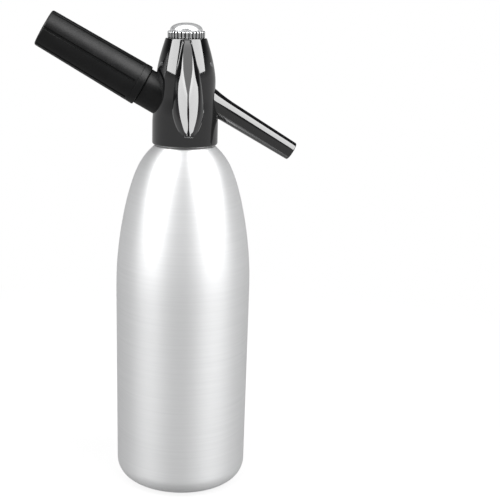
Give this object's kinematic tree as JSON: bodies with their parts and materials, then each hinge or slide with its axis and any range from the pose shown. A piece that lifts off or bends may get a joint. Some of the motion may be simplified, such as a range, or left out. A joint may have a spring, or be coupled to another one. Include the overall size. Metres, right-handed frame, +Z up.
{
  "type": "soda siphon",
  "caption": "Soda siphon: satin metal bottle with a screwed head, squeeze lever, slanted spout and a screw-on gas charger holder.",
  "frame": {"origin": "centre of the bottle's foot ring, on the plane that it stands on", "axes": "+Z up along the bottle, +X towards the spout, -X towards the charger holder, -Y towards the lever"},
  "size_m": [0.1698, 0.1035, 0.3161],
  "materials": {
    "satin_aluminium": "fine brushed satin",
    "gloss_black": "high gloss black",
    "matte_black": "moulded matte black",
    "bright_chrome": "polished chrome",
    "head_brass": "turned brass",
    "stainless": "turned stainless steel",
    "charger_steel": "zinc grey",
    "seal_rubber": "black rubber",
    "white_plastic": "food grade white"
  },
  "bodies": {
    "bottle": {"bottle": "satin_aluminium"},
    "measuring_tube": {"measuring_tube": "white_plastic"},
    "riser": {"riser_gasket": "seal_rubber", "riser_collar": "white_plastic", "riser_tube": "white_plastic", "nose_seal": "seal_rubber"},
    "head": {"head_seal": "seal_rubber", "head_shell": "gloss_black", "head_core": "head_brass", "non_return_valve": "seal_rubber", "stem_seal": "seal_rubber", "gland_nut": "head_brass", "lever_pin": "stainless", "spout": "gloss_black", "spout_liner": "stainless", "spout_seal": "seal_rubber", "charger_union": "stainless", "union_seal": "seal_rubber", "gas_filter": "head_brass", "piercing_pin": "stainless", "charger_seal": "seal_rubber"},
    "lever": {"lever": "gloss_black", "lever_fork": "stainless"},
    "valve": {"valve_stem": "stainless", "valve_seal": "seal_rubber", "valve_spring": "stainless"},
    "valve_guide": {"valve_guide": "head_brass"},
    "valve_cap": {"cap_ring": "bright_chrome", "cap_dome": "bright_chrome", "cap_seal": "seal_rubber"},
    "charger": {"charger": "charger_steel"},
    "charger_cup": {"charger_cup": "satin_aluminium"},
    "charger_grip": {"grip_sleeve": "matte_black"}
  },
  "joints": [
    {"name": "head_lift_off", "type": "slide", "parent": "bottle", "child": "measuring_tube", "axis": [0, 0, 1], "range_m": [0, 0.25]},
    {"name": "head_rise", "type": "slide", "parent": "measuring_tube", "child": "riser", "axis": [0, 0, 1], "range_m": [0, 0.0075]},
    {"name": "head_turn", "type": "hinge", "parent": "riser", "child": "head", "pos_m": [0, 0, 0.24], "axis": [0, 0, 1], "range_deg": [0, 900]},
    {"name": "lever_squeeze", "type": "hinge", "parent": "head", "child": "lever", "pos_m": [0, -0.0075, 0.284], "axis": [1, 0, 0], "range_deg": [0, 18], "stiffness_Nm_per_rad": 1.2, "springref_deg": -6.88},
    {"name": "valve_lift", "type": "slide", "parent": "head", "child": "valve", "axis": [0, 0, 1], "range_m": [0, 0.00324], "deforming": ["valve_spring"]},
    {"name": "cap_rise", "type": "slide", "parent": "head", "child": "valve_guide", "axis": [0, 0, 1], "range_m": [0, 0.0045]},
    {"name": "cap_turn", "type": "hinge", "parent": "valve_guide", "child": "valve_cap", "pos_m": [0, 0, 0.3], "axis": [0, 0, 1], "range_deg": [0, 1080]},
    {"name": "charger_draw_out", "type": "slide", "parent": "head", "child": "charger", "axis": [-0.8669, 0, 0.4985], "range_m": [0, 0.075]},
    {"name": "holder_rise", "type": "slide", "parent": "charger", "child": "charger_cup", "axis": [-0.8669, 0, 0.4985], "range_m": [0, 0.009]},
    {"name": "holder_turn", "type": "hinge", "parent": "charger_cup", "child": "charger_grip", "pos_m": [0, 0, 0.2536], "axis": [-0.8669, 0, 0.4985], "range_deg": [0, 2160]}
  ],
  "couplings": [
    {"joint": "head_turn", "follows": "head_rise", "rad_per_m": 2094.4},
    {"joint": "lever_squeeze", "follows": "valve_lift", "rad_per_m": 97.087},
    {"joint": "cap_turn", "follows": "cap_rise", "rad_per_m": 4188.8},
    {"joint": "holder_turn", "follows": "holder_rise", "rad_per_m": 4188.8}
  ]
}
